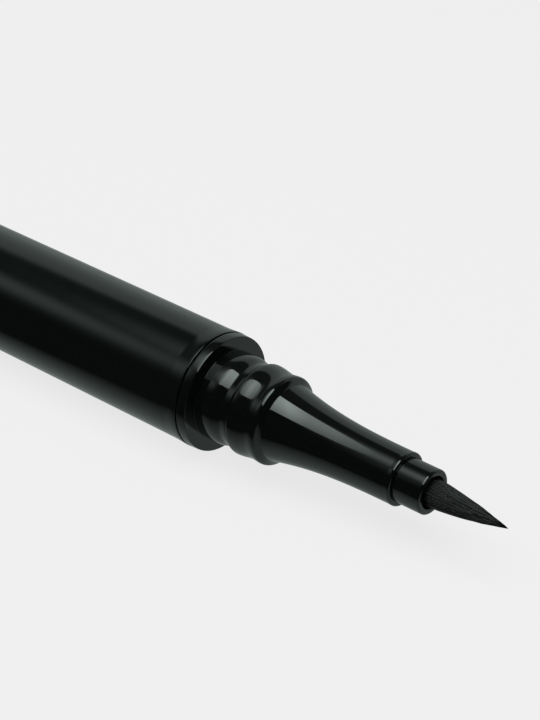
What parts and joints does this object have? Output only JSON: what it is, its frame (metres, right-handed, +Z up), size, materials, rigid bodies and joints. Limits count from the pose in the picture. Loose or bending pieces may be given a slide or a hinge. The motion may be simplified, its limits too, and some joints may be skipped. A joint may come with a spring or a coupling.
{
  "type": "liquid eyeliner pen",
  "caption": "Slim round liquid eyeliner pen with its cap taken off: satin barrel, beaded glossy neck, hollow-curved nozzle and a pointed fibre brush.",
  "frame": {"origin": "centre of the flat tail face, on the pen's axis", "axes": "+X along the pen's axis from the tail to the brush, +Z up as the pen lies on a table"},
  "size_m": [0.1866, 0.0116, 0.0116],
  "materials": {
    "satin_black": "fine satin",
    "gloss_black": "polished mould, high gloss",
    "natural_polypropylene": "milky, smooth",
    "white_polyethylene": "waxy, smooth",
    "seal_rubber": "matt",
    "polished_steel": "polished",
    "spring_steel": "drawn wire",
    "ivory_abs": "moulded",
    "felt_rod": "bonded fibre, ink soaked",
    "brush_fibre": "fine tapered fibre, ink stained",
    "dark_liner": "moulded"
  },
  "bodies": {
    "pen": {"barrel_sleeve": "satin_black", "tail_crown": "satin_black", "ink_tank": "natural_polypropylene", "tank_plug": "white_polyethylene", "tail_seal_ring": "seal_rubber", "neck_coupler": "gloss_black", "neck_seal_ring": "seal_rubber", "collector": "ivory_abs", "feed_core": "felt_rod", "feed_pipe": "ivory_abs", "nozzle_cone": "gloss_black", "brush_holder": "gloss_black", "brush_retainer": "ivory_abs", "brush_tip": "brush_fibre"},
    "ball": {"mixing_ball": "polished_steel"},
    "cap": {"cap_shell": "satin_black", "cap_liner": "dark_liner", "inner_cap_spring": "spring_steel", "cap_crown": "satin_black"},
    "sprung_cup": {"inner_cap": "white_polyethylene"}
  },
  "joints": [
    {"name": "cap_slide", "type": "slide", "parent": "pen", "child": "cap", "axis": [-1, 0, 0], "range_m": [0, 0.05202]},
    {"name": "inner_cap_slide", "type": "slide", "parent": "cap", "child": "sprung_cup", "axis": [1, 0, 0], "range_m": [0, 0.0012], "stiffness_N_per_m": 150, "springref_m": -0.004, "deforming": ["inner_cap_spring"]},
    {"name": "ball_slide", "type": "slide", "parent": "pen", "child": "ball", "axis": [1, 0, 0], "range_m": [0, 0.05614]}
  ]
}
